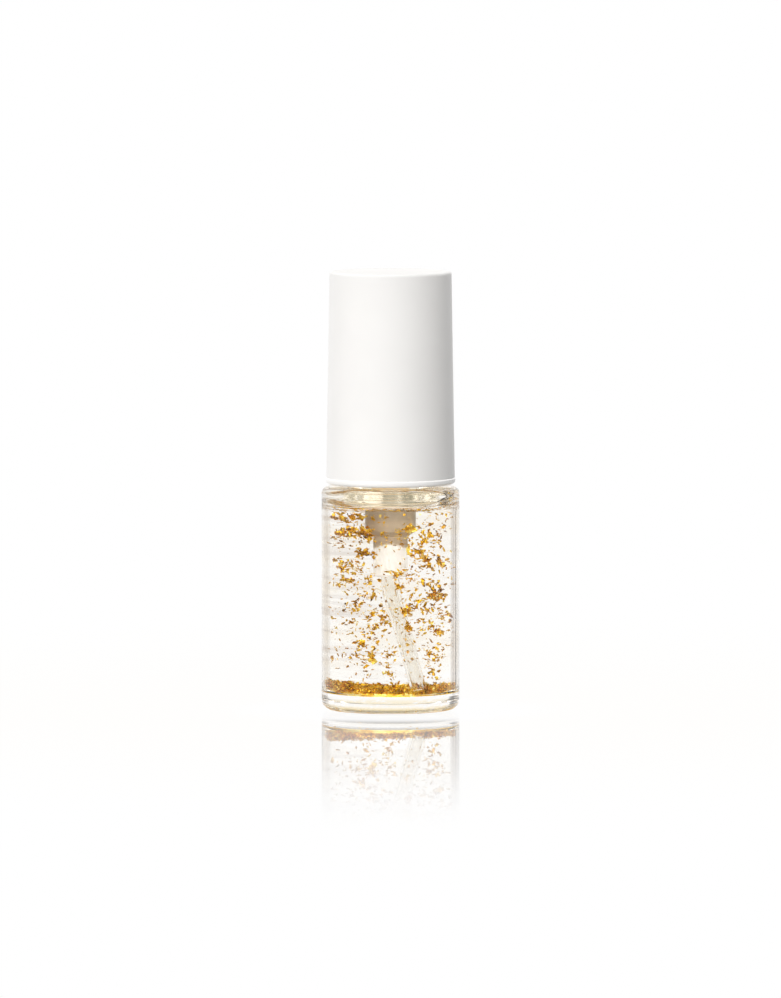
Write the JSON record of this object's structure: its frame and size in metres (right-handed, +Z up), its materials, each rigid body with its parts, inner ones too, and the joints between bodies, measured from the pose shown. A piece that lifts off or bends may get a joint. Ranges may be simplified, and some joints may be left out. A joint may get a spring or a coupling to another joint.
{
  "type": "treatment pump vial",
  "caption": "Small clear glass cylinder of gold-flecked gel with a screw-on treatment pump, bent dip tube and tall white over-cap.",
  "frame": {"origin": "middle of the bottle's resting face", "axes": "+Z up along the bottle, -Y the way the spout points"},
  "size_m": [0.025, 0.025, 0.0795],
  "materials": {
    "clear_glass": "polished clear glass",
    "clear_gel": "clear gel",
    "gold_leaf": "crumpled bright leaf",
    "pump_plastic": "natural moulded plastic",
    "gasket_foam": "soft closed foam",
    "clear_tube": "clear extruded plastic",
    "piston_plastic": "soft moulded plastic",
    "steel": "bright drawn steel",
    "white_plastic": "satin white moulded plastic"
  },
  "bodies": {
    "vial": {"bottle": "clear_glass", "serum": "clear_gel", "gold_flakes": "gold_leaf", "gold_sediment": "gold_leaf"},
    "pump_unit": {"pump_housing": "pump_plastic", "neck_gasket": "gasket_foam", "spring_retainer": "pump_plastic", "stem_guide": "pump_plastic", "dip_tube": "clear_tube", "return_spring": "steel"},
    "screw_collar": {"collar": "white_plastic"},
    "cover": {"over_cap": "white_plastic"},
    "plunger": {"stem": "pump_plastic", "piston_seat": "pump_plastic"},
    "sliding_piston": {"piston": "piston_plastic"},
    "inlet_valve": {"inlet_ball": "steel"},
    "outlet_valve": {"outlet_ball": "steel"},
    "head": {"press_head": "white_plastic", "spout_insert": "white_plastic"}
  },
  "joints": [
    {"name": "pump_lift", "type": "slide", "parent": "vial", "child": "pump_unit", "axis": [0, 0, 1], "range_m": [0, 0.00476], "deforming": ["serum"]},
    {"name": "collar_turn", "type": "hinge", "parent": "pump_unit", "child": "screw_collar", "pos_m": [0, 0, 0.049], "axis": [0, 0, 1], "range_deg": [0, 540]},
    {"name": "cap_pull", "type": "slide", "parent": "screw_collar", "child": "cover", "axis": [0, 0, 1], "range_m": [0, 0.045]},
    {"name": "head_press", "type": "slide", "parent": "pump_unit", "child": "plunger", "axis": [0, 0, -1], "range_m": [0, 0.0042], "stiffness_N_per_m": 900, "springref_m": -0.0045, "deforming": ["return_spring"]},
    {"name": "piston_slip", "type": "slide", "parent": "plunger", "child": "sliding_piston", "axis": [0, 0, 1], "range_m": [0, 0.0008]},
    {"name": "head_turn", "type": "hinge", "parent": "plunger", "child": "head", "pos_m": [0, 0, 0.07], "axis": [0, 0, 1], "continuous": true},
    {"name": "inlet_ball_lift", "type": "slide", "parent": "pump_unit", "child": "inlet_valve", "axis": [0, 0, 1], "range_m": [0, 0.0007]},
    {"name": "outlet_ball_lift", "type": "slide", "parent": "plunger", "child": "outlet_valve", "axis": [0, 0, 1], "range_m": [0, 0.0005]}
  ],
  "couplings": [
    {"joint": "collar_turn", "follows": "pump_lift", "rad_per_m": 1979},
    {"joint": "piston_slip", "follows": "head_press", "ratio": 0.19}
  ]
}
